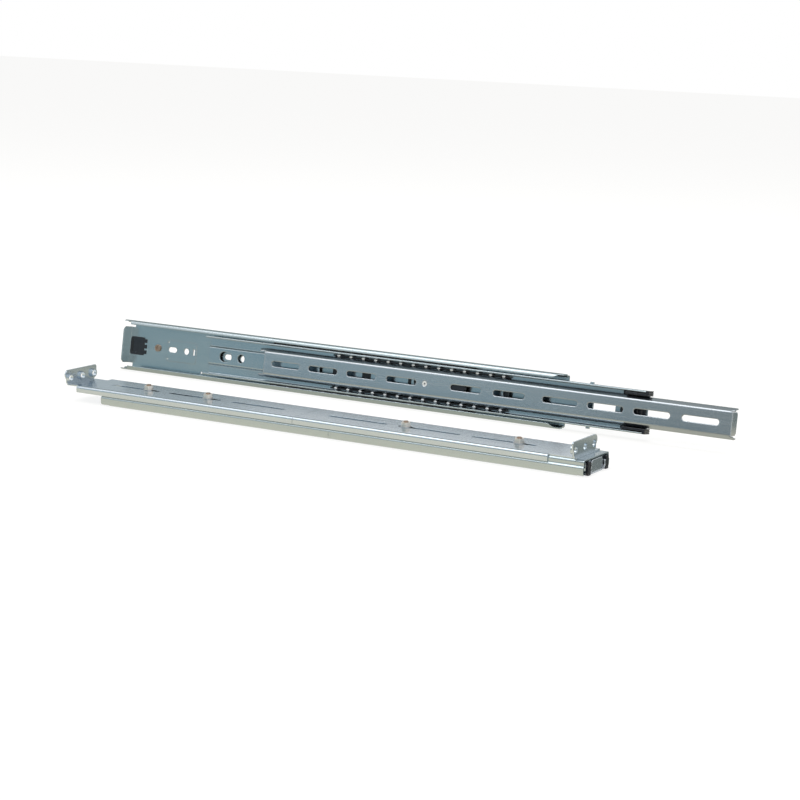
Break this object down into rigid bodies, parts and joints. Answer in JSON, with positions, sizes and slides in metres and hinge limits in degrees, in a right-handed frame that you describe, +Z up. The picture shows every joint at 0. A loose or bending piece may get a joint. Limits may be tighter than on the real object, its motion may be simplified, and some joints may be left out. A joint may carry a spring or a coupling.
{
  "type": "sliding server rail pair",
  "caption": "Pair of ball-bearing slide rails that carry a server in a rack: one standing part way open, one closed face down with slotted end brackets.",
  "frame": {"origin": "centre of the pair's footprint, on the surface it stands on", "axes": "+X along the rails towards their front ends, the way they pull out; +Y from the left rail, which lies face down, to the right rail, which stands on edge; +Z up"},
  "size_m": [0.601, 0.1738, 0.0457],
  "materials": {
    "zinc_steel": "bright zinc plate, faint rolling grain",
    "zinc_steel_middle": "bright zinc plate, faint rolling grain",
    "zinc_steel_inner": "bright zinc plate, faint rolling grain",
    "bracket_steel": "bright zinc plate, satin",
    "bearing_steel": "polished",
    "black_plastic": "moulded, satin",
    "stud_brass": "yellow chromate over steel",
    "pin_steel": "zinc plate",
    "washer_steel": "zinc plate",
    "nut_steel": "zinc plate"
  },
  "bodies": {
    "fixed": {"right_outer_member": "zinc_steel", "right_rear_bumper": "black_plastic", "right_bracket_studs": "stud_brass", "right_stud_washers": "washer_steel", "right_stud_nuts": "nut_steel", "left_outer_member": "zinc_steel", "left_rear_bumper": "black_plastic", "left_bracket_studs": "stud_brass", "left_stud_washers": "washer_steel", "left_stud_nuts": "nut_steel"},
    "right_intermediate": {"right_intermediate_member": "zinc_steel_middle", "right_front_bumper": "black_plastic"},
    "right_inner": {"right_inner_member": "zinc_steel_inner", "right_lever_pin": "pin_steel"},
    "right_outer_ball_train": {"right_outer_cages": "black_plastic", "right_outer_balls": "bearing_steel"},
    "right_inner_ball_train": {"right_inner_cage": "black_plastic", "right_inner_balls": "bearing_steel"},
    "right_lever": {"right_release_lever": "black_plastic"},
    "left_intermediate": {"left_intermediate_member": "zinc_steel_middle", "left_front_bumper": "black_plastic"},
    "left_inner": {"left_inner_member": "zinc_steel_inner", "left_lever_pin": "pin_steel"},
    "left_outer_ball_train": {"left_outer_cages": "black_plastic", "left_outer_balls": "bearing_steel"},
    "left_inner_ball_train": {"left_inner_cage": "black_plastic", "left_inner_balls": "bearing_steel"},
    "left_lever": {"left_release_lever": "black_plastic"},
    "left_rear_bracket": {"left_rear_bracket": "bracket_steel"},
    "left_front_bracket": {"left_front_bracket": "bracket_steel"}
  },
  "joints": [
    {"name": "right_intermediate_slide", "type": "slide", "parent": "fixed", "child": "right_intermediate", "axis": [1, 0, 0], "range_m": [-0.0745, 0.1505]},
    {"name": "right_inner_slide", "type": "slide", "parent": "right_intermediate", "child": "right_inner", "axis": [1, 0, 0], "range_m": [-0.0745, 0.1505]},
    {"name": "right_outer_ball_train_slide", "type": "slide", "parent": "fixed", "child": "right_outer_ball_train", "axis": [1, 0, 0], "range_m": [-0.03725, 0.07525]},
    {"name": "right_inner_ball_train_slide", "type": "slide", "parent": "right_intermediate", "child": "right_inner_ball_train", "axis": [1, 0, 0], "range_m": [-0.03725, 0.07525]},
    {"name": "right_release_lever_hinge", "type": "hinge", "parent": "right_inner", "child": "right_lever", "pos_m": [0.0205, 0.07288, 0.023], "axis": [0, -0.9893, 0.1461], "range_deg": [0, 7], "stiffness_Nm_per_rad": 0.05},
    {"name": "left_intermediate_slide", "type": "slide", "parent": "fixed", "child": "left_intermediate", "axis": [1, 0, 0], "range_m": [0, 0.225]},
    {"name": "left_inner_slide", "type": "slide", "parent": "left_intermediate", "child": "left_inner", "axis": [1, 0, 0], "range_m": [0, 0.225]},
    {"name": "left_outer_ball_train_slide", "type": "slide", "parent": "fixed", "child": "left_outer_ball_train", "axis": [1, 0, 0], "range_m": [0, 0.1125]},
    {"name": "left_inner_ball_train_slide", "type": "slide", "parent": "left_intermediate", "child": "left_inner_ball_train", "axis": [1, 0, 0], "range_m": [0, 0.1125]},
    {"name": "left_release_lever_hinge", "type": "hinge", "parent": "left_inner", "child": "left_lever", "pos_m": [-0.0345, -0.05972, 0.0037], "axis": [0, 0, -1], "range_deg": [0, 7], "stiffness_Nm_per_rad": 0.05},
    {"name": "left_rear_bracket_adjust", "type": "slide", "parent": "fixed", "child": "left_rear_bracket", "axis": [1, 0, 0], "range_m": [-0.009, 0]},
    {"name": "left_front_bracket_adjust", "type": "slide", "parent": "fixed", "child": "left_front_bracket", "axis": [1, 0, 0], "range_m": [0, 0.0048]}
  ],
  "couplings": [
    {"joint": "right_outer_ball_train_slide", "follows": "right_intermediate_slide", "ratio": 0.5},
    {"joint": "right_inner_ball_train_slide", "follows": "right_inner_slide", "ratio": 0.5},
    {"joint": "left_outer_ball_train_slide", "follows": "left_intermediate_slide", "ratio": 0.5},
    {"joint": "left_inner_ball_train_slide", "follows": "left_inner_slide", "ratio": 0.5}
  ]
}
